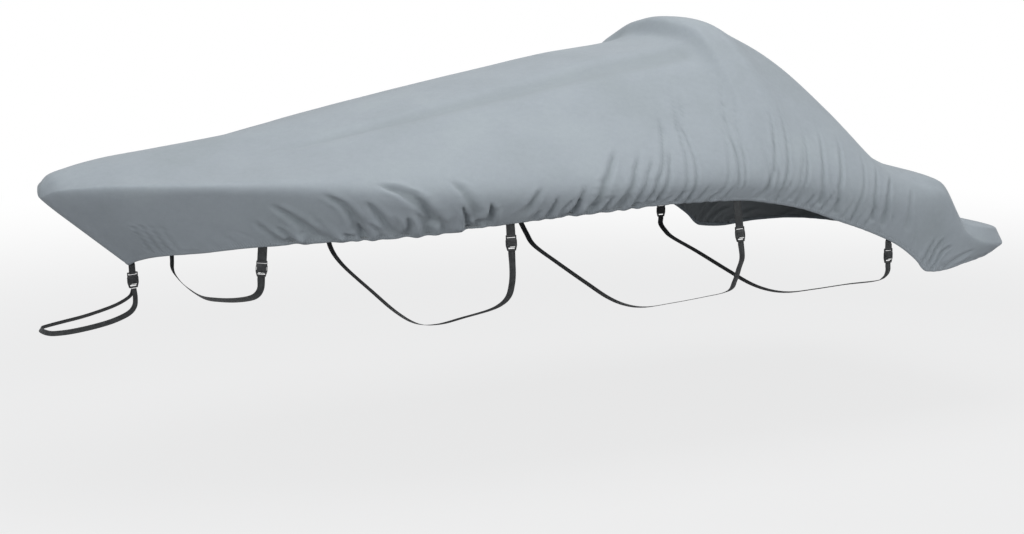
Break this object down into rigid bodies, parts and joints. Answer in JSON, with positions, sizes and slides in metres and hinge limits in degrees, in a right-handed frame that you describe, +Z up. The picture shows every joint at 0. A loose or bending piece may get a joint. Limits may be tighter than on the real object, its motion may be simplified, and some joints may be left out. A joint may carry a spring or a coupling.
{
  "type": "boat cover",
  "caption": "Fitted cloth trailering cover for a runabout boat, hollow below, with a gathered hem and webbing straps that buckle under the hull and round a winch post.",
  "frame": {"origin": "under side of the cloth at the highest point of the crown, on the centreline", "axes": "+X aft, from bow to stern; +Y starboard; +Z up"},
  "size_m": [5.4976, 2.2414, 1.5868],
  "materials": {
    "cover": "plain woven polyester, coated, grey-blue",
    "webbing": "flat woven webbing, black",
    "buckle": "moulded, black",
    "pin": "bright"
  },
  "bodies": {
    "root": {"cover": "cover", "tab_port_1": "webbing", "tab_port_2": "webbing", "tab_port_3": "webbing", "tab_port_4": "webbing", "tab_starboard_1": "webbing", "tab_starboard_2": "webbing", "tab_starboard_3": "webbing", "tab_starboard_4": "webbing", "buckle_port_1": "buckle", "buckle_port_2": "buckle", "buckle_port_3": "buckle", "buckle_port_4": "buckle", "buckle_starboard_1": "buckle", "buckle_starboard_2": "buckle", "buckle_starboard_3": "buckle", "buckle_starboard_4": "buckle", "pin_port_1": "pin", "pin_port_2": "pin", "pin_port_3": "pin", "pin_port_4": "pin", "pin_starboard_1": "pin", "pin_starboard_2": "pin", "pin_starboard_3": "pin", "pin_starboard_4": "pin", "strap_1": "webbing", "strap_2": "webbing", "strap_3": "webbing", "strap_4": "webbing", "bow_tab": "webbing", "bow_buckle": "buckle", "bow_pin": "pin", "bow_strap": "webbing"}
  },
  "joints": []
}
